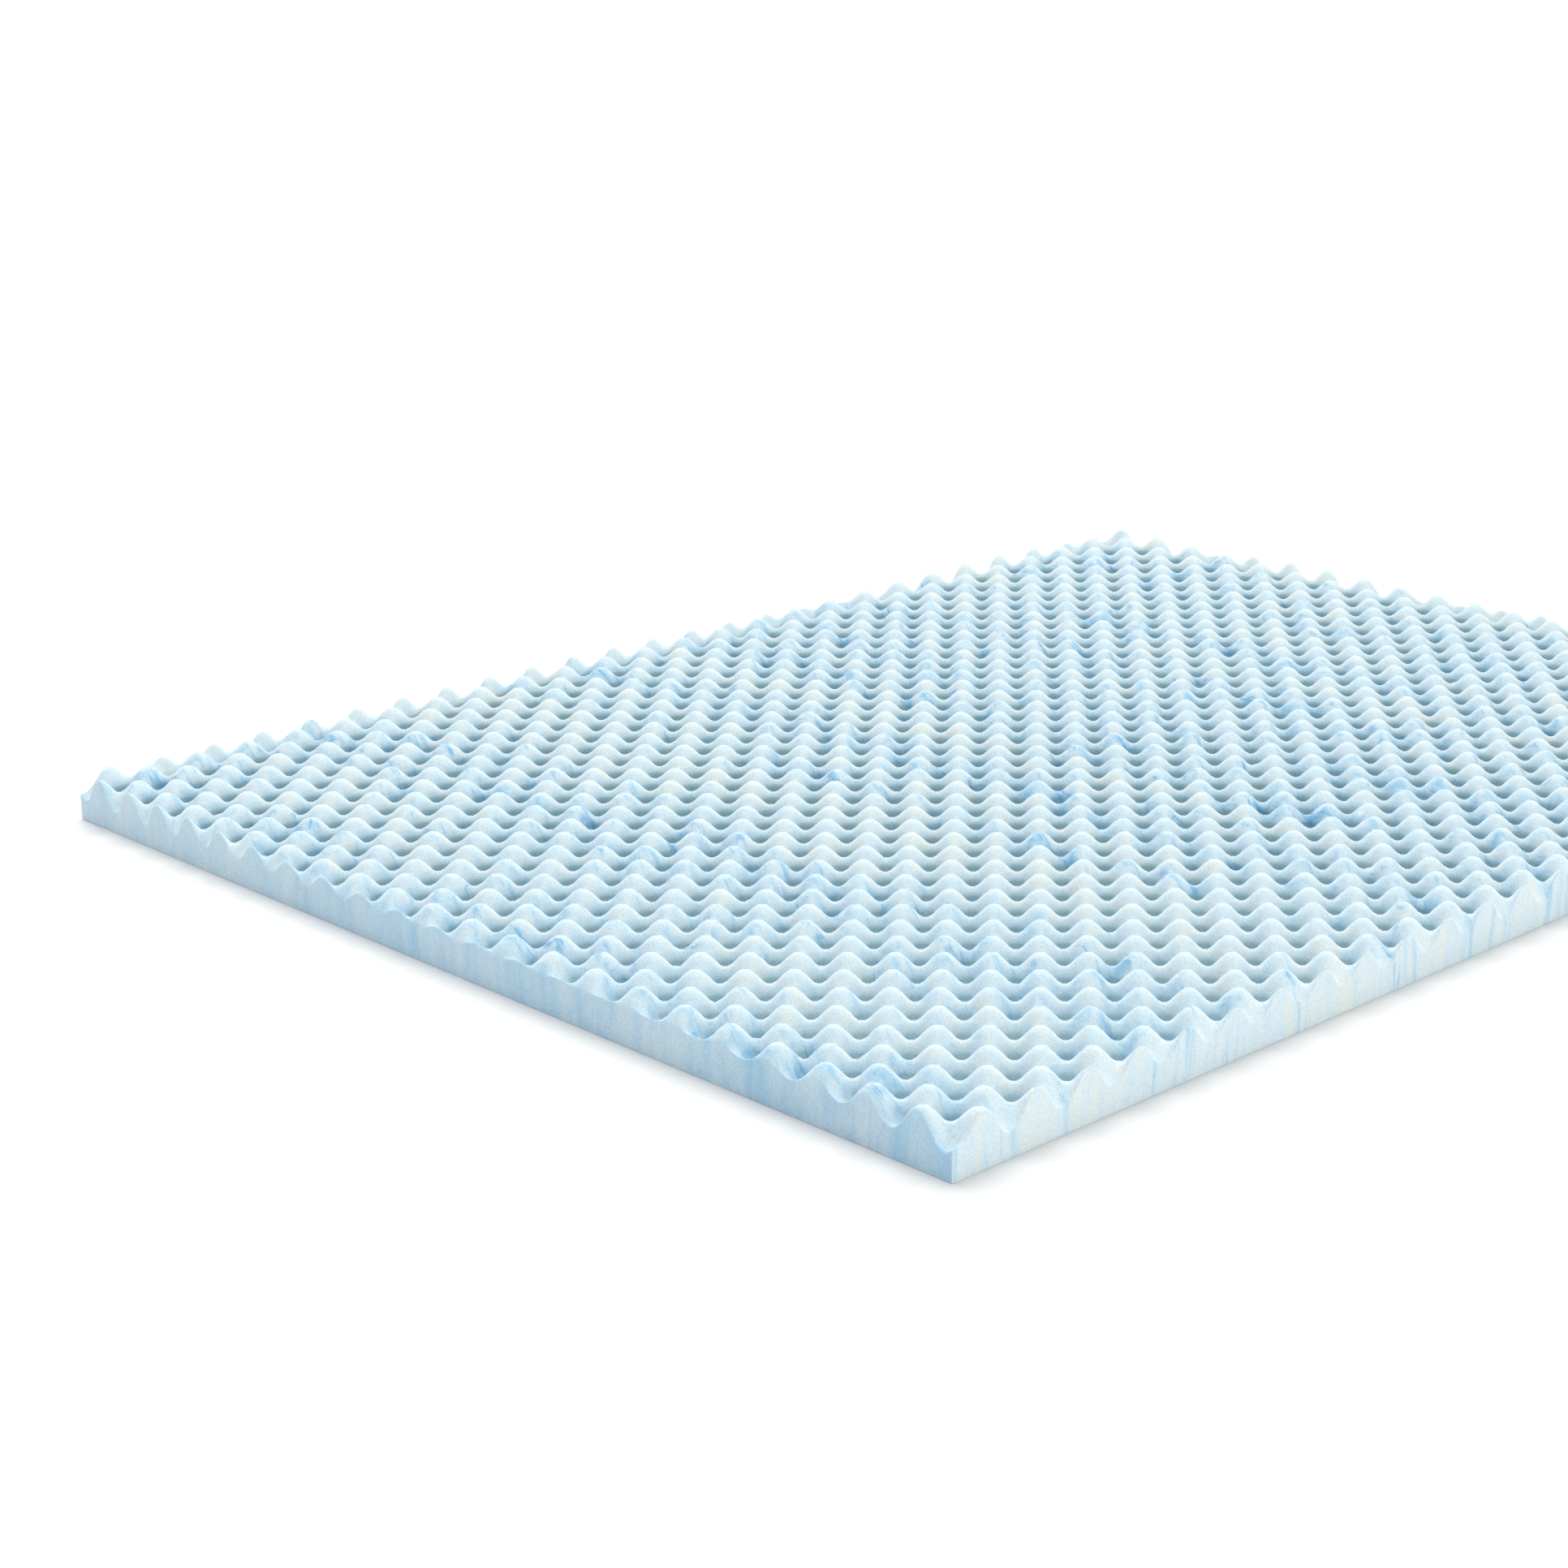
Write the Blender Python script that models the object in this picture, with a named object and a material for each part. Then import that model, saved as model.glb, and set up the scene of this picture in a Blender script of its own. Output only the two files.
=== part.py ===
"""Convoluted foam mattress topper, queen size: one slab of foam with an egg-crate top.

The foam is cut by a wavy blade, so its top is a lattice of rounded peaks and valleys that take
turns along both sides. The lattice wanders a little against the straight trimmed edges, so
every edge cuts the waves somewhere else. Metres, +Z up, origin under the middle of the slab.
"""

import math

import bmesh
import bpy

# Driving sizes
WIDTH = 1.524            # along X, 60 in
LENGTH = 2.032           # along Y, 80 in
PEAK_HEIGHT = 0.0630     # top of a peak above the flat underside
VALLEY_HEIGHT = 0.0280   # solid foam left under a valley
SADDLE_DROP = 0.0021     # how far the saddles lie under the height midway
FULLNESS = 1.35          # 0 is a plain cosine wave; more gives broader, rounder peaks
SNAP = 0.0045            # lattice points this near a trimmed side are moved onto it

# The lattice, counted in half waves: one half wave runs from a peak to the next valley.
# across counts them along X and along counts them along Y. x and y go from -1 to 1 over
# the slab, and each row adds its amounts times x to x_power times y to y_power.
LATTICE_COLUMNS = ("x_power", "y_power", "across", "along")
LATTICE = (
    (0, 0, 0.68, 0.45),      # where the slab's middle falls in the pattern
    (1, 0, 21.55, 0.70),     # half waves over half the width, and their slant
    (0, 1, -0.02, 26.75),    # half waves over half the length, and their slant
    (2, 0, 0.86, -0.32),     # bow from side to side
    (1, 1, 0.04, 0.31),     # twist
    (0, 2, 0.81, -0.93),     # bow from end to end
    (3, 0, -0.20, 0.22),      # the rows' drift near the corners
    (2, 1, 0.62, -0.27),
    (1, 2, 0.00, -0.07),
    (0, 3, 0.06, -0.67),
)
# The trimming pulled the foam at the two near corners: half waves moved across and along there
PULLED_CORNERS = (
    {"side": 1, "end": -1, "across": 0.34, "along": -0.11},
    {"side": -1, "end": -1, "across": -0.69, "along": 0.09},
)
PULL_REACH_X = 0.15
PULL_REACH_Y = 0.05
SOLVE_STEPS = 12         # fixed-point steps that place a lattice point on the slab

FOAM_COLOUR = (0.62, 0.78, 0.87, 1.0)
FOAM_ROUGHNESS = 0.95


def clear_scene():
    for old in list(bpy.data.objects):
        bpy.data.objects.remove(old, do_unlink=True)


def lattice_phase(x, y):
    """Half waves across and along at a place on the slab."""
    side = x / (WIDTH / 2)
    end = y / (LENGTH / 2)
    across = 0.0
    along = 0.0
    for row in LATTICE:
        term = dict(zip(LATTICE_COLUMNS, row))
        weight = side ** term["x_power"] * end ** term["y_power"]
        across += term["across"] * weight
        along += term["along"] * weight
    for corner in PULLED_CORNERS:
        away_x = (x - corner["side"] * WIDTH / 2) / PULL_REACH_X
        away_y = (y - corner["end"] * LENGTH / 2) / PULL_REACH_Y
        pull = math.exp(-(away_x ** 2 + away_y ** 2) / 2)
        across += corner["across"] * pull
        along += corner["along"] * pull
    return across, along


def half_wave_sizes():
    """Mean length of a half wave along X and along Y."""
    across_side = LATTICE[1][2]
    along_end = LATTICE[2][3]
    return WIDTH / 2 / across_side, LENGTH / 2 / along_end


def place_on_slab(across, along):
    """The slab position whose phase is the given one."""
    step_x, step_y = half_wave_sizes()
    x = across * step_x
    y = along * step_y
    for _ in range(SOLVE_STEPS):
        here_across, here_along = lattice_phase(x, y)
        x += (across - here_across) * step_x
        y += (along - here_along) * step_y
    return x, y


def top_height(x, y):
    """Height of the wavy top: peak, valley, and about mid height on the saddles between."""
    middle = (PEAK_HEIGHT + VALLEY_HEIGHT) / 2
    swing = (PEAK_HEIGHT - VALLEY_HEIGHT) / 2
    across, along = lattice_phase(x, y)
    wave = math.cos(math.pi * across) * math.cos(math.pi * along)
    rounded = math.sin(FULLNESS * wave) / math.sin(FULLNESS)
    return middle + swing * rounded - SADDLE_DROP * (1 - wave ** 2)


def lattice_sheet(mesh):
    """A grid with a point on each peak and valley, and a saddle point inside each square."""
    step_x, step_y = half_wave_sizes()
    reach_across = math.ceil(WIDTH / 2 / step_x) + 3
    reach_along = math.ceil(LENGTH / 2 / step_y) + 3
    bmesh.ops.create_grid(mesh, x_segments=2 * reach_across, y_segments=2 * reach_along, size=1)
    bmesh.ops.poke(mesh, faces=mesh.faces[:])
    for point in mesh.verts:
        x, y = place_on_slab(point.co.x * reach_across, point.co.y * reach_along)
        point.co = (x, y, 0)


def trim_sides(mesh):
    """Straight cuts along the four sides."""
    sides = (
        ((WIDTH / 2, 0, 0), (1, 0, 0)),
        ((-WIDTH / 2, 0, 0), (-1, 0, 0)),
        ((0, LENGTH / 2, 0), (0, 1, 0)),
        ((0, -LENGTH / 2, 0), (0, -1, 0)),
    )
    for place, outward in sides:
        everything = mesh.verts[:] + mesh.edges[:] + mesh.faces[:]
        bmesh.ops.bisect_plane(mesh, geom=everything, dist=SNAP, plane_co=place,
                               plane_no=outward, use_snap_center=True, clear_outer=True)


def raise_top(mesh):
    for point in mesh.verts:
        point.co.z = top_height(point.co.x, point.co.y)


def close_slab(mesh):
    """Walls straight down from the trimmed edge, and one flat underside."""
    rim = [edge for edge in mesh.edges if edge.is_boundary]
    walls = bmesh.ops.extrude_edge_only(mesh, edges=rim)["geom"]
    for item in walls:
        if isinstance(item, bmesh.types.BMVert):
            item.co.z = 0
    foot = [edge for edge in mesh.edges if edge.is_boundary]
    bmesh.ops.holes_fill(mesh, edges=foot, sides=0)
    bmesh.ops.triangulate(mesh, faces=mesh.faces[:])
    bmesh.ops.recalc_face_normals(mesh, faces=mesh.faces[:])


def foam_material():
    foam = bpy.data.materials.new("gel_swirl_foam")
    foam.use_nodes = True
    shader = foam.node_tree.nodes["Principled BSDF"]
    shader.inputs["Base Color"].default_value = FOAM_COLOUR
    shader.inputs["Roughness"].default_value = FOAM_ROUGHNESS
    shader.inputs["Metallic"].default_value = 0.0
    return foam


def make_topper(parts):
    mesh = bmesh.new()
    lattice_sheet(mesh)
    trim_sides(mesh)
    raise_top(mesh)
    close_slab(mesh)
    data = bpy.data.meshes.new("foam_topper")
    mesh.to_mesh(data)
    mesh.free()
    data.materials.append(foam_material())
    topper = bpy.data.objects.new("foam_topper", data)
    parts.objects.link(topper)


def main():
    clear_scene()
    parts = bpy.data.collections.new("mattress_topper")
    bpy.context.scene.collection.children.link(parts)
    make_topper(parts)


main()
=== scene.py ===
import math

import bpy
from mathutils import Matrix, Vector


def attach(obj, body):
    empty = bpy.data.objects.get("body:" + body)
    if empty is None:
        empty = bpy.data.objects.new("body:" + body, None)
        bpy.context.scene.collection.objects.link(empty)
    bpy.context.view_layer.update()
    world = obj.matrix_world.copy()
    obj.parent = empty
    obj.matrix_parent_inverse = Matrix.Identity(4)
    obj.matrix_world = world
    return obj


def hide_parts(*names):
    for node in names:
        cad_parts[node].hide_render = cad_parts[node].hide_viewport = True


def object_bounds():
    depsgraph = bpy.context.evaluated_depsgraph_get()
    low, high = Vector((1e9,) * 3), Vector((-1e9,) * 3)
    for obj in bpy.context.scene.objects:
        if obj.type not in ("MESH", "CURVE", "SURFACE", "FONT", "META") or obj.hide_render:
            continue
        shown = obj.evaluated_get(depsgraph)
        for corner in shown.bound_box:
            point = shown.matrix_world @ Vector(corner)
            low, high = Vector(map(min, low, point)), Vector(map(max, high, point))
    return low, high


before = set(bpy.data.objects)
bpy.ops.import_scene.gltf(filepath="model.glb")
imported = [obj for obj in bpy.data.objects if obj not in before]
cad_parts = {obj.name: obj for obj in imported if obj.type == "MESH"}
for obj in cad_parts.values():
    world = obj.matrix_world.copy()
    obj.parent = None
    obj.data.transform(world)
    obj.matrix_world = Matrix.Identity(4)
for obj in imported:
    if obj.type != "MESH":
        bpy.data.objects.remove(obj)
cadLow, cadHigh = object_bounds()
cadSize = cadHigh - cadLow
print("frame loaded", [round(side, 4) for side in cadSize])


# the photo's viewpoint, found from the slab's straight edges and its rows of pits
view = {
    "place": (2.4512, -2.8342, 1.1644),
    "heading": 46.424,       # degrees, turned left from looking along +Y
    "pitch": 17.417,         # degrees below the horizon
    "roll": 0.359,
    "lens": 67.64,           # mm on a 36 mm wide sensor
}


def makeCamera():
    data = bpy.data.cameras.new("photoView")
    data.lens = view["lens"]
    data.sensor_width = 36
    data.clip_end = 200
    camera = bpy.data.objects.new("photoView", data)
    bpy.context.scene.collection.objects.link(camera)
    turn = Matrix.Rotation(math.radians(view["heading"]), 4, "Z")
    tilt = Matrix.Rotation(math.radians(90 - view["pitch"]), 4, "X")
    lean = Matrix.Rotation(math.radians(-view["roll"]), 4, "Z")
    camera.matrix_world = Matrix.Translation(view["place"]) @ turn @ tilt @ lean
    bpy.context.scene.camera = camera


makeCamera()
print("camera set")


def addNode(tree, kind, inputs=None, **settings):
    # inputs are wired where a socket is given, and set where a value is given
    node = tree.nodes.new(kind)
    node.location = (190 * len(tree.nodes), 0)
    for name, value in settings.items():
        setattr(node, name, value)
    for name, value in (inputs or {}).items():
        if isinstance(value, bpy.types.NodeSocket):
            tree.links.new(value, node.inputs[name])
        else:
            node.inputs[name].default_value = value
    return node


def calc(tree, operation, first, second=0.0, third=0.0, clamp=False):
    node = addNode(tree, "ShaderNodeMath", {0: first, 1: second, 2: third}, operation=operation)
    node.use_clamp = clamp
    return node.outputs[0]


def noise(tree, place, scale, detail=2.0, roughness=0.5):
    inputs = {"Vector": place, "Scale": scale, "Detail": detail, "Roughness": roughness}
    return addNode(tree, "ShaderNodeTexNoise", inputs)


def fade(tree, value, low, high, lowResult=0.0, highResult=1.0):
    inputs = {"Value": value, "From Min": low, "From Max": high,
              "To Min": lowResult, "To Max": highResult}
    return addNode(tree, "ShaderNodeMapRange", inputs, interpolation_type="SMOOTHSTEP").outputs[0]


def blend(tree, amount, under, over):
    # shader colours: under where amount is 0, over where it is 1
    node = addNode(tree, "ShaderNodeMix", data_type="RGBA")
    for socket, value in ((0, amount), (6, under), (7, over)):
        if isinstance(value, bpy.types.NodeSocket):
            tree.links.new(value, node.inputs[socket])
        else:
            node.inputs[socket].default_value = value
    return node.outputs[2]


def ramp(tree, value, stops):
    # a colour that changes smoothly through the stops
    node = addNode(tree, "ShaderNodeValToRGB", {0: value})
    node.color_ramp.interpolation = "B_SPLINE"
    elements = node.color_ramp.elements
    while len(elements) < len(stops):
        elements.new(0.5)
    for element, (place, colour) in zip(elements, stops):
        element.position = place
        element.color = (*colour, 1.0)
    return node.outputs["Color"]


def hexColour(text):
    # a screen colour such as "cfe6f2" as the linear colour a shader takes
    channels = [int(text[at:at + 2], 16) / 255 for at in (0, 2, 4)]
    linear = [c / 12.92 if c <= 0.04045 else ((c + 0.055) / 1.055) ** 2.4 for c in channels]
    return (*linear, 1.0)


# the egg-crate slab: half waves across and along it, as powers of the place from -1 to 1
slab = {
    "width": cadSize.x,
    "length": cadSize.y,
    "peak": cadSize.z,
    "valley": 0.028,
    "fullness": 1.05,        # 0 is a plain cosine wave; more gives broader, rounder peaks
    "calm": 0.135,           # share of the waves' swing missing from the middle to the far corner
    "calmMargin": 0.05,      # the swing is whole at the cut edges, and calm this far inside
    "calmStart": 0.08,       # where the calm starts, as a share of the way to the far corner
    "calmEnd": 0.45,         # and where all of it is reached
    "columns": 267,          # points across, about one every 5.7 mm
    "rows": 341,
    "snapsPerWave": 6.0,     # places per half wave that the points are drawn to
    "snapMargin": 0.009,     # no points move this near a cut edge
    "thinReach": 0.0020,     # points of the top that come this close become one
    "weldReach": 0.0001,     # and so do points of the walls and the underside
    "outerReach": 0.0005,    # an edge this near the trimmed outline may be rubbed
    "footLevel": 0.001,      # points below this are on the underside
    "sharpAngle": 25,        # degrees; flatter edges stay as they are
    "rimRound": 0.0022,      # how far the blade's edge is rubbed round
    "cornerRound": 0.5,      # share of that on the upright corners
    "footRound": 0.35,       # and along the underside
    "pullReach": (0.15, 0.05, 1.0),    # metres across and along over which a pull fades off
    "wander": 0.0009,        # metres that the waves stray sideways
    "sag": 0.0005,           # and up or down
    "strayScale": 5.0,       # more makes the strays follow each other closer
    "strayDetail": 2.0,
    "strayGain": 4.0,        # brings the noise to about -1 to 1
    "seed": 3.0,
    "shadeLimit": 0.83,      # below this share of their depth the painted pit shade gets no darker
    "litMargin": 0.030,      # the painted pit shade fades this near a cut edge, where light comes in from the side
    "litShare": 0.25,        # share of the painted shade that is left right at the edge
    "topSlope": 0.3,         # faces that point up more than this are the top, the only faces with painted pit shade
    "backShade": 0.20,       # how much more painted shade the pits get from the middle to the far corner
    "rimSteps": 2,           # facets across a rubbed edge
    "flatFacing": 0.9999,    # faces this square to an axis are cut walls or the underside
}
latticeColumns = ("xPower", "yPower", "across", "along")
lattice = (
    (0, 0, 0.68, 0.45),      # where the middle falls in the pattern
    (1, 0, 21.55, 0.70),     # half waves over half the width
    (0, 1, -0.02, 26.75),    # half waves over half the length
    (2, 0, 0.86, -0.32),     # bow from side to side
    (1, 1, 0.04, 0.31),      # twist
    (0, 2, 0.81, -0.93),     # bow from end to end
    (3, 0, -0.20, 0.22),     # the rows' drift near the corners
    (2, 1, 0.62, -0.27),
    (1, 2, 0.00, -0.07),
    (0, 3, 0.06, -0.67),
)
# the trimming pulled the foam along the near end: half waves moved across and along, at places
# that go from -1 to 1 over the slab
pulledPlaces = (
    {"side": 1, "end": -1, "across": 0.34, "along": 0.04},
    {"side": 0.79, "end": -1, "across": 0.0, "along": -0.165},
    {"side": 0.35, "end": -1, "across": 0.0, "along": -0.06},
    {"side": -0.55, "end": -1, "across": 0.0, "along": 0.04},
    {"side": -1, "end": -1, "across": -0.69, "along": 0.09},
)
slabInputs = (
    ("Width", "Float", slab["width"]),
    ("Length", "Float", slab["length"]),
    ("Peak Height", "Float", slab["peak"]),
    ("Valley Height", "Float", slab["valley"]),
    ("Fullness", "Float", slab["fullness"]),
    ("Calm", "Float", slab["calm"]),
    ("Calm Margin", "Float", slab["calmMargin"]),
    ("Calm Start", "Float", slab["calmStart"]),
    ("Calm End", "Float", slab["calmEnd"]),
    ("Columns", "Int", slab["columns"]),
    ("Rows", "Int", slab["rows"]),
    ("Snaps Per Wave", "Float", slab["snapsPerWave"]),
    ("Snap Margin", "Float", slab["snapMargin"]),
    ("Corner Round", "Float", slab["cornerRound"]),
    ("Foot Round", "Float", slab["footRound"]),
    ("Pull Reach", "Vector", slab["pullReach"]),
    ("Wander", "Float", slab["wander"]),
    ("Sag", "Float", slab["sag"]),
    ("Stray Scale", "Float", slab["strayScale"]),
    ("Seed", "Float", slab["seed"]),
    ("Shade Limit", "Float", slab["shadeLimit"]),
    ("Lit Margin", "Float", slab["litMargin"]),
    ("Back Shade", "Float", slab["backShade"]),
    ("Foam", "Material", None),
)


def localPull(tree, pulled, flat, halfSize, given):
    # fades off like a bell with the distance from its place
    offset = addNode(tree, "ShaderNodeVectorMath",
                     {0: flat, 1: (pulled["side"], pulled["end"], 0)},
                     operation="SUBTRACT").outputs[0]
    metres = addNode(tree, "ShaderNodeVectorMath", {0: offset, 1: halfSize},
                     operation="MULTIPLY").outputs[0]
    away = addNode(tree, "ShaderNodeVectorMath", {0: metres, 1: given["Pull Reach"]},
                   operation="DIVIDE").outputs[0]
    square = addNode(tree, "ShaderNodeVectorMath", {0: away, 1: away},
                     operation="DOT_PRODUCT").outputs["Value"]
    pull = calc(tree, "EXPONENT", calc(tree, "MULTIPLY", square, -0.5))
    return addNode(tree, "ShaderNodeVectorMath",
                   {0: (pulled["across"], pulled["along"], 0), "Scale": pull},
                   operation="SCALE").outputs[0]


def wavePhase(tree, place, given):
    # the half waves across and along at a place, as a vector
    spot = addNode(tree, "ShaderNodeSeparateXYZ", {0: place})
    side = calc(tree, "DIVIDE", spot.outputs["X"], calc(tree, "MULTIPLY", given["Width"], 0.5))
    end = calc(tree, "DIVIDE", spot.outputs["Y"], calc(tree, "MULTIPLY", given["Length"], 0.5))
    total = None
    for row in lattice:
        term = dict(zip(latticeColumns, row))
        weight = calc(tree, "MULTIPLY", calc(tree, "POWER", side, term["xPower"]),
                      calc(tree, "POWER", end, term["yPower"]))
        share = addNode(tree, "ShaderNodeVectorMath",
                        {0: (term["across"], term["along"], 0), "Scale": weight},
                        operation="SCALE").outputs[0]
        if total is None:
            total = share
        else:
            total = addNode(tree, "ShaderNodeVectorMath", {0: total, 1: share}).outputs[0]
    flat = addNode(tree, "ShaderNodeCombineXYZ", {"X": side, "Y": end}).outputs[0]
    halfSize = addNode(tree, "ShaderNodeCombineXYZ",
                       {"X": calc(tree, "MULTIPLY", given["Width"], 0.5),
                        "Y": calc(tree, "MULTIPLY", given["Length"], 0.5)}).outputs[0]
    for pulled in pulledPlaces:
        total = addNode(tree, "ShaderNodeVectorMath",
                        {0: total, 1: localPull(tree, pulled, flat, halfSize, given)}).outputs[0]
    return total


def strayField(tree, place, given):
    # slow random shifts in three directions
    field = addNode(tree, "ShaderNodeTexNoise",
                    {"Vector": place, "W": given["Seed"], "Scale": given["Stray Scale"],
                     "Detail": slab["strayDetail"]}, noise_dimensions="4D")
    centred = addNode(tree, "ShaderNodeVectorMath", {0: field.outputs["Color"], 1: (0.5,) * 3},
                      operation="SUBTRACT").outputs[0]
    return addNode(tree, "ShaderNodeVectorMath", {0: centred, "Scale": slab["strayGain"]},
                   operation="SCALE").outputs[0]


def strayedPhase(tree, place, stray, given):
    shift = addNode(tree, "ShaderNodeVectorMath", {0: stray, "Scale": given["Wander"]},
                    operation="SCALE").outputs[0]
    shifted = addNode(tree, "ShaderNodeVectorMath", {0: place, 1: shift}).outputs[0]
    return wavePhase(tree, shifted, given)


def snapShift(tree, place, given):
    # draws each point of the grid to the nearest even share of a half wave, both ways, so that
    # the crests run along the mesh
    phase = strayedPhase(tree, place, strayField(tree, place, given), given)
    steps = addNode(tree, "ShaderNodeVectorMath", {0: phase, "Scale": given["Snaps Per Wave"]},
                    operation="SCALE").outputs[0]
    nearest = addNode(tree, "ShaderNodeVectorMath",
                      {0: addNode(tree, "ShaderNodeVectorMath",
                                  {0: steps, 1: (0.5, 0.5, 0)}).outputs[0]},
                      operation="FLOOR").outputs[0]
    missing = addNode(tree, "ShaderNodeVectorMath", {0: nearest, 1: steps},
                      operation="SUBTRACT").outputs[0]
    acrossRate, alongRate = lattice[1][2], lattice[2][3]
    stepSize = (slab["width"] / 2 / acrossRate, slab["length"] / 2 / alongRate, 0)
    move = addNode(tree, "ShaderNodeVectorMath", {0: missing, 1: stepSize},
                   operation="MULTIPLY").outputs[0]
    return addNode(tree, "ShaderNodeVectorMath",
                   {0: move, "Scale": calc(tree, "DIVIDE", 1.0, given["Snaps Per Wave"])},
                   operation="SCALE").outputs[0]


def backward(tree, place, given):
    # 0 around the near corner, +X and -Y, and 1 from the middle to the corner across from it
    spot = addNode(tree, "ShaderNodeSeparateXYZ", {0: place}).outputs
    reach = calc(tree, "ADD", given["Width"], given["Length"])
    share = calc(tree, "DIVIDE", calc(tree, "SUBTRACT", spot["Y"], spot["X"]), reach)
    return fade(tree, calc(tree, "ADD", share, 0.5), given["Calm Start"], given["Calm End"])


def edgeDistance(tree, coordinate, size):
    halfSize = calc(tree, "MULTIPLY", size, 0.5)
    return calc(tree, "SUBTRACT", halfSize, calc(tree, "ABSOLUTE", coordinate))


def nearestEdge(tree, place, given):
    spot = addNode(tree, "ShaderNodeSeparateXYZ", {0: place}).outputs
    return calc(tree, "MINIMUM", edgeDistance(tree, spot["X"], given["Width"]),
                edgeDistance(tree, spot["Y"], given["Length"]))


def localSwing(tree, place, given):
    # the middle height and the swing of the waves, which are shallower inside and further back
    middle = calc(tree, "MULTIPLY",
                  calc(tree, "ADD", given["Peak Height"], given["Valley Height"]), 0.5)
    whole = calc(tree, "SUBTRACT", given["Peak Height"], middle)
    calm = calc(tree, "MULTIPLY", backward(tree, place, given), given["Calm"])
    inside = fade(tree, nearestEdge(tree, place, given), 0.0, given["Calm Margin"])
    missing = calc(tree, "MULTIPLY", calm, inside)
    return middle, calc(tree, "MULTIPLY", whole, calc(tree, "SUBTRACT", 1.0, missing))


def topHeight(tree, place, given):
    stray = strayField(tree, place, given)
    phase = strayedPhase(tree, place, stray, given)
    turns = addNode(tree, "ShaderNodeVectorMath", {0: phase, "Scale": math.pi},
                    operation="SCALE").outputs[0]
    waves = addNode(tree, "ShaderNodeVectorMath", {0: turns}, operation="COSINE").outputs[0]
    wave = addNode(tree, "ShaderNodeSeparateXYZ", {0: waves}).outputs
    product = calc(tree, "MULTIPLY", wave["X"], wave["Y"])
    rounded = calc(tree, "DIVIDE",
                   calc(tree, "SINE", calc(tree, "MULTIPLY", product, given["Fullness"])),
                   calc(tree, "SINE", given["Fullness"]))
    middle, swing = localSwing(tree, place, given)
    plain = calc(tree, "MULTIPLY_ADD", rounded, swing, middle)
    lift = addNode(tree, "ShaderNodeSeparateXYZ", {0: stray}).outputs["Z"]
    sunk = calc(tree, "MULTIPLY", calc(tree, "SUBTRACT", lift, 1.0), given["Sag"])
    return calc(tree, "ADD", plain, sunk)


def wavyTop(tree, place, spot, given):
    sheet = addNode(tree, "GeometryNodeMeshGrid",
                    {"Size X": given["Width"], "Size Y": given["Length"],
                     "Vertices X": given["Columns"], "Vertices Y": given["Rows"]}).outputs["Mesh"]
    inside = calc(tree, "GREATER_THAN", nearestEdge(tree, place, given), given["Snap Margin"])
    drawn = addNode(tree, "GeometryNodeSetPosition",
                    {"Geometry": sheet, "Selection": inside,
                     "Offset": snapShift(tree, place, given)}).outputs[0]
    merged = addNode(tree, "GeometryNodeMergeByDistance",
                     {"Geometry": drawn, "Distance": slab["thinReach"]}).outputs[0]
    raised = addNode(tree, "ShaderNodeCombineXYZ",
                     {"X": spot["X"], "Y": spot["Y"], "Z": topHeight(tree, place, given)})
    return addNode(tree, "GeometryNodeSetPosition",
                   {"Geometry": merged, "Position": raised.outputs[0]}).outputs[0]


def closedSlab(tree, top, spot):
    # straight walls down from the top's trimmed edge
    facesBeside = addNode(tree, "GeometryNodeInputMeshEdgeNeighbors").outputs[0]
    trimmed = addNode(tree, "FunctionNodeCompare", {2: facesBeside, 3: 1},
                      data_type="INT", operation="EQUAL").outputs[0]
    walls = addNode(tree, "GeometryNodeExtrudeMesh",
                    {"Mesh": top, "Selection": trimmed, "Offset Scale": 0.0}, mode="EDGES")
    floorSpot = addNode(tree, "ShaderNodeCombineXYZ", {"X": spot["X"], "Y": spot["Y"]})
    standing = addNode(tree, "GeometryNodeSetPosition",
                       {"Geometry": walls.outputs["Mesh"], "Selection": walls.outputs["Top"],
                        "Position": floorSpot.outputs[0]}).outputs[0]

    # one flat face closes the underside
    loop = addNode(tree, "GeometryNodeMeshToCurve",
                   {"Mesh": standing, "Selection": walls.outputs["Top"]}).outputs[0]
    under = addNode(tree, "GeometryNodeFillCurve", {"Curve": loop}, mode="NGONS").outputs[0]
    down = addNode(tree, "GeometryNodeFlipFaces", {"Mesh": under}).outputs[0]
    joined = addNode(tree, "GeometryNodeJoinGeometry").inputs[0]
    tree.links.new(down, joined)
    tree.links.new(standing, joined)
    return addNode(tree, "GeometryNodeMergeByDistance",
                   {"Geometry": joined.node.outputs[0],
                    "Distance": slab["weldReach"]}).outputs[0]


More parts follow.
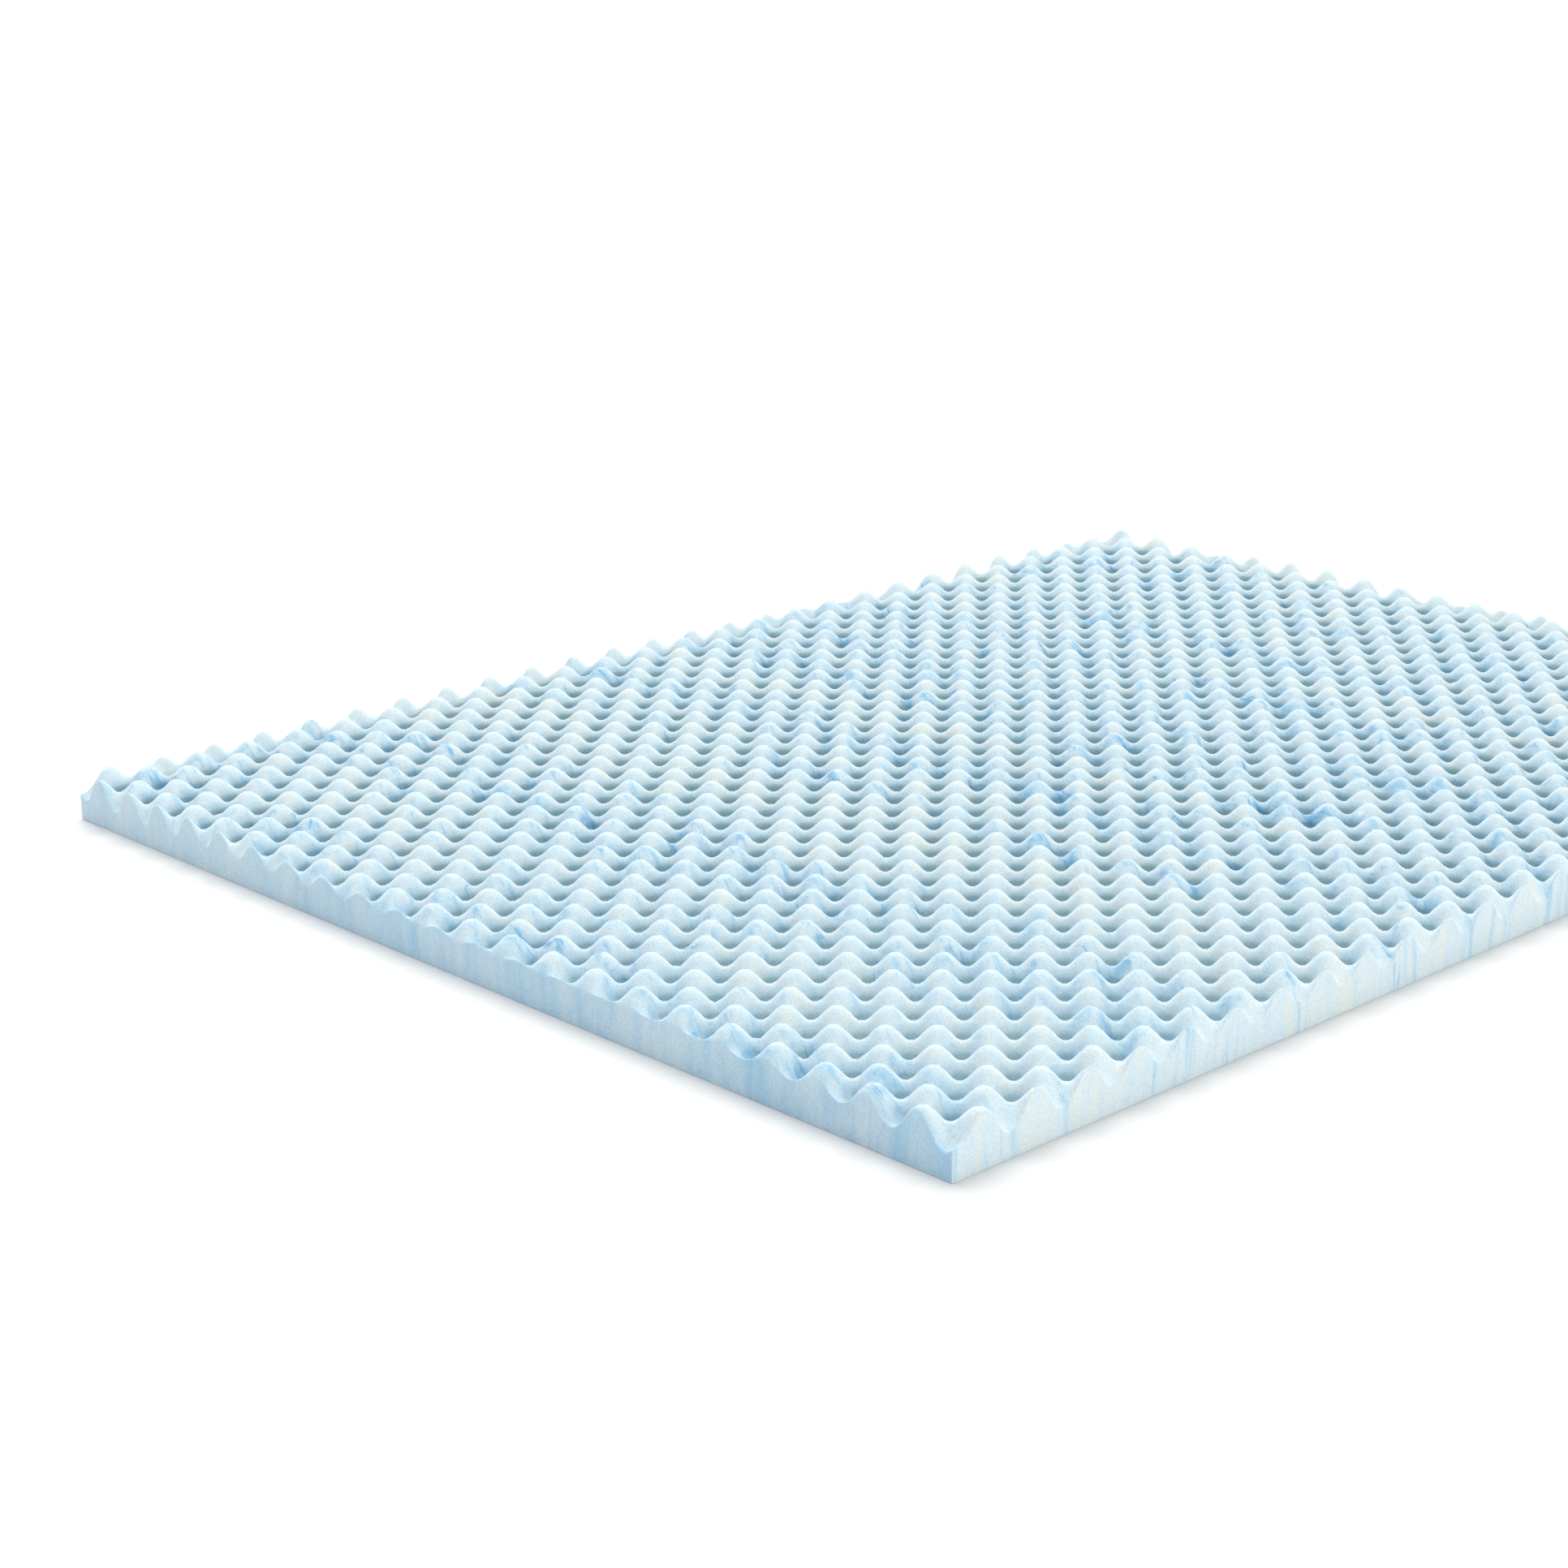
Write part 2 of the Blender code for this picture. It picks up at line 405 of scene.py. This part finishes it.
def edgeWear(tree, toEdge, given):
    # how round each edge is: all of it on the rim, less on the upright corners and the foot
    angle = addNode(tree, "GeometryNodeInputMeshEdgeAngle").outputs["Unsigned Angle"]
    ends = addNode(tree, "GeometryNodeInputMeshEdgeVertices").outputs
    firstZ = addNode(tree, "ShaderNodeSeparateXYZ", {0: ends["Position 1"]}).outputs["Z"]
    secondZ = addNode(tree, "ShaderNodeSeparateXYZ", {0: ends["Position 2"]}).outputs["Z"]
    lower = calc(tree, "MINIMUM", firstZ, secondZ)
    upper = calc(tree, "MAXIMUM", firstZ, secondZ)
    atFoot = calc(tree, "LESS_THAN", upper, slab["footLevel"])
    upright = calc(tree, "MULTIPLY", calc(tree, "LESS_THAN", lower, slab["footLevel"]),
                   calc(tree, "GREATER_THAN", upper, slab["footLevel"]))
    atRim = calc(tree, "SUBTRACT", 1.0, calc(tree, "ADD", atFoot, upright))
    roundness = calc(tree, "ADD",
                     calc(tree, "MULTIPLY_ADD", atFoot, given["Foot Round"], atRim),
                     calc(tree, "MULTIPLY", upright, given["Corner Round"]))
    sharp = calc(tree, "GREATER_THAN", angle, math.radians(slab["sharpAngle"]))
    outer = calc(tree, "LESS_THAN", toEdge, slab["outerReach"])
    return calc(tree, "MULTIPLY", calc(tree, "MULTIPLY", sharp, outer), roundness)


def paintedPitShade(tree, place, spot, toEdge, given):
    # painted pit shade: how deep in a pit each point of the top is, from 0 on a peak to 1; 0 on
    # the cut walls
    middle, swing = localSwing(tree, place, given)
    rise = addNode(tree, "ShaderNodeMapRange",
                   {"Value": spot["Z"], "From Min": calc(tree, "SUBTRACT", middle, swing),
                    "From Max": calc(tree, "ADD", middle, swing), "To Min": 1.0,
                    "To Max": 0.0}).outputs[0]
    rise = calc(tree, "MINIMUM", rise, given["Shade Limit"])
    # the painted shade is lighter near the cut edges and stronger towards the far corner
    enclosed = fade(tree, toEdge, 0.0, given["Lit Margin"], slab["litShare"], 1.0)
    gain = calc(tree, "MULTIPLY_ADD", backward(tree, place, given), given["Back Shade"], 1.0)
    facing = addNode(tree, "ShaderNodeSeparateXYZ",
                     {0: addNode(tree, "GeometryNodeInputNormal").outputs[0]}).outputs["Z"]
    upward = addNode(tree, "GeometryNodeFieldOnDomain",
                     {0: calc(tree, "GREATER_THAN", facing, slab["topSlope"])},
                     data_type="FLOAT", domain="FACE").outputs[0]
    return calc(tree, "MULTIPLY", calc(tree, "MULTIPLY", rise, upward),
                calc(tree, "MULTIPLY", enclosed, gain))


def buildSlabTree():
    tree = bpy.data.node_groups.new("eggCrateSlab", "GeometryNodeTree")
    for name, kind, value in slabInputs:
        socket = tree.interface.new_socket(name, in_out="INPUT", socket_type="NodeSocket" + kind)
        if value is not None:
            socket.default_value = value
    tree.interface.new_socket("Geometry", in_out="OUTPUT", socket_type="NodeSocketGeometry")
    given = addNode(tree, "NodeGroupInput").outputs
    place = addNode(tree, "GeometryNodeInputPosition").outputs[0]
    spot = addNode(tree, "ShaderNodeSeparateXYZ", {0: place}).outputs
    toEdge = nearestEdge(tree, place, given)

    closed = closedSlab(tree, wavyTop(tree, place, spot, given), spot)
    weighed = addNode(tree, "GeometryNodeStoreNamedAttribute",
                      {"Geometry": closed, "Name": "bevel_weight_edge",
                       "Value": edgeWear(tree, toEdge, given)},
                      data_type="FLOAT", domain="EDGE").outputs[0]
    # the painted pit shade is stored on the mesh as the attribute pit
    hollowed = addNode(tree, "GeometryNodeStoreNamedAttribute",
                       {"Geometry": weighed, "Name": "pit",
                        "Value": paintedPitShade(tree, place, spot, toEdge, given)},
                       data_type="FLOAT", domain="CORNER").outputs[0]
    real = addNode(tree, "GeometryNodeRealizeInstances", {"Geometry": hollowed}).outputs[0]
    foam = addNode(tree, "GeometryNodeSetMaterial", {"Geometry": real, "Material": given["Foam"]})
    output = addNode(tree, "NodeGroupOutput")
    tree.links.new(foam.outputs[0], output.inputs[0])
    return tree


# marbled gel foam: the blocks are poured, so the colours run on along X and straight up
marbling = {
    "pale": "d6e9f2",
    "cream": "e0eae9",
    "blue": "9fd0ec",
    "gel": "6fb2dc",
    # painted highlight: the colour of the pale line along the upright edges, where rubbed fibres
    # catch the light
    "rubbed": "eef6fa",
    "edgeHighlightReach": 0.003,       # width of the painted highlight along the upright edges
    "edgeHighlightShare": 0.6,
    # how a pattern is drawn out along X and upwards: less is longer
    "stretch": (0.16, 1.0, 0.10),
    "wallStretch": (0.45, 1.0, 0.06),
    "streakStretch": (1.0, 1.0, 0.05),
    # scale and reach in metres of the slow wander and of the frayed borders
    "wander": (3.5, 0.05),
    "fray": (28.0, 0.012),
    "ripple": (40.0, 0.008),
    # scale, and how much it turns the mood between cream and blue
    "clouds": (22.0, 2.6),
    "wisps": (55.0, 3.8),
    "streaks": (85.0, 2.4),
    # moods where the colour starts to turn and is whole
    "creamMoods": (0.2, -1.1),
    "blueMoods": (0.1, 1.7),
    "gelMoods": (-0.2, 1.3),
    # gel threads: scale and width of the fine and the broad ones, and their patches
    "fineThread": (42.0, 0.030),
    "broadThread": (30.0, 0.050),
    "patchScale": 18.0,
    "patchLevels": (0.42, 0.68),
    # the cells: scale, then the levels and the shades of their speckle
    "speckleScale": 520.0,
    "speckleLevels": (0.28, 0.72),
    "speckleShades": (0.88, 1.05),
    # scale, strength and depth in metres of the small dents and of the pores
    "dents": (90.0, 0.5, 0.0010),
    "pores": (620.0, 0.5, 0.0008),
    # painted pit shade: how deep in a pit, and the share of the colour left there
    "paintedPitShades": (
        (0.42, (1.0, 1.0, 1.0)),
        (0.52, (0.87, 0.90, 0.93)),
        (0.64, (0.80, 0.85, 0.88)),
        (0.72, (0.63, 0.73, 0.77)),
        (0.80, (0.42, 0.53, 0.57)),
        (0.93, (0.27, 0.38, 0.42)),
    ),
    "roughness": 0.95,
    "specular": 0.15,
    "sheen": 1.0,
    "sheenRoughness": 0.35,
    "bandShare": 0.45,       # how much the bands turn the mood
    "bandFade": (1.6, 0.2),  # shares of a band's half width where it ends and where it is whole
    # place along Y, half width, strength from cream (-1) to blue (1)
    "bands": (
        (0.99, 0.05, -0.8),
        (0.80, 0.10, 0.15),
        (0.61, 0.035, -0.6),
        (0.54, 0.030, 0.9),
        (0.45, 0.035, -0.6),
        (0.36, 0.055, 0.6),
        (0.17, 0.050, 0.6),
        (0.02, 0.045, 0.5),
        (-0.085, 0.025, -0.7),
        (-0.19, 0.035, 0.8),
        (-0.26, 0.025, -0.6),
        (-0.335, 0.018, 1.0),
        (-0.43, 0.085, -0.9),
        (-0.66, 0.085, 0.5),
        (-0.80, 0.050, -0.3),
        (-1.03, 0.090, 0.8),
    ),
    # place along X on the near end wall, half width, strength
    "endStreaks": (
        (0.757, 0.014, 0.35),
        (0.735, 0.070, 0.45),
        (0.690, 0.012, 0.2),
        (0.0, 0.60, 0.40),
    ),
    "endDepth": 0.016,       # how far in from the near end wall its colours reach
    "endCalm": 0.65,         # share of the clouds and streaks missing there
}


def warpPlace(tree, place, scale, reach, detail=2.0):
    # moves a place by a noise of its own, so that straight bands wander
    shift = noise(tree, place, scale, detail).outputs["Color"]
    centred = addNode(tree, "ShaderNodeVectorMath", {0: shift, 1: (0.5,) * 3},
                      operation="SUBTRACT").outputs[0]
    scaled = addNode(tree, "ShaderNodeVectorMath", {0: centred, "Scale": reach},
                     operation="SCALE").outputs[0]
    return addNode(tree, "ShaderNodeVectorMath", {0: place, 1: scaled}).outputs[0]


def stretched(tree, place, scale):
    return addNode(tree, "ShaderNodeMapping", {"Vector": place, "Scale": scale}).outputs[0]


def bandSum(tree, coordinate, bands):
    total = 0.0
    ended, whole = marbling["bandFade"]
    for middle, halfWidth, strength in bands:
        away = calc(tree, "ABSOLUTE", calc(tree, "SUBTRACT", coordinate, middle))
        inside = fade(tree, away, halfWidth * ended, halfWidth * whole)
        total = calc(tree, "MULTIPLY_ADD", inside, strength, total)
    return total


def moodPart(tree, place, settings, mood, detail=2.0, roughness=0.5):
    # adds a noise, centred on 0, to the mood
    scale, strength = settings
    level = noise(tree, place, scale, detail, roughness).outputs[0]
    return calc(tree, "MULTIPLY_ADD", calc(tree, "SUBTRACT", level, 0.5), strength, mood)


def thread(tree, place, settings, detail=2.0):
    # thin lines where a noise crosses its middle
    scale, width = settings
    level = noise(tree, place, scale, detail).outputs[0]
    away = calc(tree, "ABSOLUTE", calc(tree, "SUBTRACT", level, 0.5))
    return fade(tree, away, width, 0.0)


def bumps(tree, place, settings, roughness, under=None):
    scale, strength, depth = settings
    inputs = {"Height": noise(tree, place, scale, 3.0, roughness).outputs[0],
              "Strength": strength, "Distance": depth}
    if under is not None:
        inputs["Normal"] = under
    return addNode(tree, "ShaderNodeBump", inputs).outputs[0]


def bandMood(tree, place, frayed, nearEnd):
    # the broad bands over the slab, and the streaks on its near end wall
    spot = addNode(tree, "ShaderNodeSeparateXYZ", {0: frayed}).outputs
    bands = calc(tree, "MULTIPLY", bandSum(tree, spot["Y"], marbling["bands"]),
                 marbling["bandShare"])
    ripples = addNode(tree, "ShaderNodeSeparateXYZ",
                      {0: warpPlace(tree, place, *marbling["ripple"])}).outputs["X"]
    return calc(tree, "MULTIPLY_ADD", bandSum(tree, ripples, marbling["endStreaks"]), nearEnd,
                bands)


def marbledColour(tree, place, nearEnd):
    wandering = warpPlace(tree, place, *marbling["wander"])
    frayed = warpPlace(tree, wandering, *marbling["fray"], detail=3.0)
    poured = stretched(tree, frayed, marbling["stretch"])
    walled = stretched(tree, frayed, marbling["wallStretch"])
    vivid = calc(tree, "SUBTRACT", 1.0, calc(tree, "MULTIPLY", nearEnd, marbling["endCalm"]))

    # cream against blue: the mood, from the bands, two sizes of cloud and fine streaks
    streaked = stretched(tree, frayed, marbling["streakStretch"])
    mood = moodPart(tree, poured, marbling["clouds"], 0.0, detail=4.0, roughness=0.6)
    mood = moodPart(tree, walled, marbling["wisps"], mood, detail=4.0, roughness=0.65)
    mood = moodPart(tree, streaked, marbling["streaks"], mood)
    mood = calc(tree, "MULTIPLY_ADD", mood, vivid, bandMood(tree, place, frayed, nearEnd))
    creamy = fade(tree, mood, *marbling["creamMoods"])
    bluish = fade(tree, mood, *marbling["blueMoods"])
    colour = blend(tree, creamy, hexColour(marbling["pale"]), hexColour(marbling["cream"]))
    colour = blend(tree, bluish, colour, hexColour(marbling["blue"]))

    # gel threads, mostly where it is blue
    fine = thread(tree, walled, marbling["fineThread"])
    broad = thread(tree, poured, marbling["broadThread"], detail=3.0)
    patches = noise(tree, walled, marbling["patchScale"]).outputs[0]
    patchy = fade(tree, patches, *marbling["patchLevels"])
    where = fade(tree, mood, *marbling["gelMoods"])
    gel = calc(tree, "MULTIPLY", calc(tree, "MAXIMUM", fine, broad),
               calc(tree, "MULTIPLY", patchy, where), clamp=True)
    gel = calc(tree, "MULTIPLY", gel, vivid)
    return blend(tree, gel, colour, hexColour(marbling["gel"]))


def buildFoam():
    foam = bpy.data.materials.new("marbledGelFoam")
    foam.use_nodes = True
    tree = foam.node_tree
    shader = tree.nodes["Principled BSDF"]
    place = addNode(tree, "ShaderNodeTexCoord").outputs["Object"]
    plain = addNode(tree, "ShaderNodeSeparateXYZ", {0: place}).outputs

    # 1 on the near end wall, and less a little way in from it
    toEnd = edgeDistance(tree, plain["Y"], slab["length"])
    nearEnd = fade(tree, toEnd, marbling["endDepth"], 0.0)
    nearEnd = calc(tree, "MULTIPLY", nearEnd, calc(tree, "LESS_THAN", plain["Y"], 0.0))
    colour = marbledColour(tree, place, nearEnd)

    # painted shade: the pits are painted greyer and darker towards the bottom
    pit = addNode(tree, "ShaderNodeAttribute", attribute_name="pit").outputs["Fac"]
    left = ramp(tree, pit, marbling["paintedPitShades"])
    colour = addNode(tree, "ShaderNodeVectorMath", {0: colour, 1: left},
                     operation="MULTIPLY").outputs[0]

    # painted highlight: the four upright edges are painted pale, where rubbed fibres catch the
    # light
    toCorner = calc(tree, "MAXIMUM", toEnd, edgeDistance(tree, plain["X"], slab["width"]))
    rubbed = fade(tree, toCorner, marbling["edgeHighlightReach"], 0.0, 0.0, marbling["edgeHighlightShare"])
    colour = blend(tree, rubbed, colour, hexColour(marbling["rubbed"]))

    # the cells' speckle
    speckle = noise(tree, place, marbling["speckleScale"], roughness=0.7).outputs[0]
    shade = fade(tree, speckle, *marbling["speckleLevels"], *marbling["speckleShades"])
    tint = addNode(tree, "ShaderNodeVectorMath", {0: colour, "Scale": shade},
                   operation="SCALE").outputs[0]
    tree.links.new(tint, shader.inputs["Base Color"])

    # small dents, and the open cells on them
    dents = bumps(tree, place, marbling["dents"], roughness=0.6)
    pores = bumps(tree, place, marbling["pores"], roughness=0.7, under=dents)
    tree.links.new(pores, shader.inputs["Normal"])
    shader.inputs["Roughness"].default_value = marbling["roughness"]
    shader.inputs["Specular IOR Level"].default_value = marbling["specular"]
    shader.inputs["Sheen Weight"].default_value = marbling["sheen"]
    shader.inputs["Sheen Roughness"].default_value = marbling["sheenRoughness"]
    return foam


def setInput(modifier, name, value):
    # a modifier's input goes by its socket's identifier
    for socket in modifier.node_group.interface.items_tree:
        if socket.in_out == "INPUT" and socket.name == name:
            modifier[socket.identifier] = value


def bakeMesh(worker, name):
    # the evaluated object as a plain mesh, with its modifiers gone
    ready = worker.evaluated_get(bpy.context.evaluated_depsgraph_get())
    mesh = bpy.data.meshes.new_from_object(ready)
    mesh.name = name
    worker.modifiers.clear()
    worker.data = mesh
    return mesh


def makeTopper(foam):
    topper = bpy.data.objects.new("eggCrateFoam", bpy.data.meshes.new("eggCrateFoam"))
    bpy.context.scene.collection.objects.link(topper)
    shape = topper.modifiers.new("slab", "NODES")
    shape.node_group = buildSlabTree()
    for name, kind, value in slabInputs:
        setInput(shape, name, foam if kind == "Material" else value)
    rounding = topper.modifiers.new("rubbed edges", "BEVEL")
    rounding.limit_method = "WEIGHT"
    rounding.width = slab["rimRound"]
    rounding.segments = slab["rimSteps"]
    mesh = bakeMesh(topper, "eggCrateFoam")
    for face in mesh.polygons:
        straight = max(abs(face.normal.x), abs(face.normal.y), -face.normal.z)
        face.use_smooth = straight < slab["flatFacing"]
    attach(topper, "root")
    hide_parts("foam_topper")
    mesh.calc_loop_triangles()
    print("foam slab made:", len(mesh.loop_triangles), "triangles")


makeTopper(buildFoam())


stage = {
    "floorReach": 60.0,
    "floor": (0.93, 0.93, 0.93),
    "footShade": 0.86,       # painted shadow: share of the floor's brightness left right beside the foam
    "shadeReach": 0.17,      # metres from the foam where the painted shadow has faded and all of the brightness is back
    "world": (0.385, 0.425, 0.478, 1.0),
    # direction the light comes from, strength, angle in degrees, colour
    "suns": (
        ((-0.55, 0.40, 1.00), 3.3, 70, (1.0, 0.98, 0.935)),
        ((1.00, -0.05, 0.35), 1.42, 60, (1.0, 0.90, 0.76)),
    ),
}


def makeFloor():
    data = bpy.data.meshes.new("floor")
    reach = stage["floorReach"]
    corners = [(-reach, -reach, 0), (reach, -reach, 0), (reach, reach, 0), (-reach, reach, 0)]
    data.from_pydata(corners, [], [(0, 1, 2, 3)])
    paint = bpy.data.materials.new("studioFloor")
    paint.use_nodes = True
    tree = paint.node_tree
    shader = tree.nodes["Principled BSDF"]
    spot = addNode(tree, "ShaderNodeSeparateXYZ",
                   {0: addNode(tree, "ShaderNodeTexCoord").outputs["Object"]}).outputs
    beside = calc(tree, "MAXIMUM", calc(tree, "SUBTRACT", calc(tree, "ABSOLUTE", spot["X"]),
                                        slab["width"] / 2), 0.0)
    beyond = calc(tree, "MAXIMUM", calc(tree, "SUBTRACT", calc(tree, "ABSOLUTE", spot["Y"]),
                                        slab["length"] / 2), 0.0)
    away = addNode(tree, "ShaderNodeVectorMath",
                   {0: addNode(tree, "ShaderNodeCombineXYZ",
                               {"X": beside, "Y": beyond}).outputs[0]},
                   operation="LENGTH").outputs["Value"]
    # painted shadow: the floor is darker close around the foam
    shade = fade(tree, away, 0.0, stage["shadeReach"], stage["footShade"], 1.0)
    white = addNode(tree, "ShaderNodeVectorMath", {0: stage["floor"], "Scale": shade},
                    operation="SCALE").outputs[0]
    tree.links.new(white, shader.inputs["Base Color"])
    shader.inputs["Roughness"].default_value = 1.0
    shader.inputs["Specular IOR Level"].default_value = 0.0
    data.materials.append(paint)
    floor = bpy.data.objects.new("floor", data)
    bpy.context.scene.collection.objects.link(floor)


def makeLights():
    for number, (source, strength, spread, colour) in enumerate(stage["suns"]):
        data = bpy.data.lights.new(f"softSun{number}", "SUN")
        data.energy = strength
        data.angle = math.radians(spread)
        data.color = colour
        sun = bpy.data.objects.new(data.name, data)
        sun.rotation_mode = "QUATERNION"
        sun.rotation_quaternion = Vector(source).to_track_quat("Z", "Y")
        bpy.context.scene.collection.objects.link(sun)
    world = bpy.data.worlds.new("studio")
    world.use_nodes = True
    world.node_tree.nodes["Background"].inputs["Color"].default_value = stage["world"]
    bpy.context.scene.world = world
    bpy.context.scene.view_settings.view_transform = "Standard"


makeFloor()
makeLights()
print("stage set")
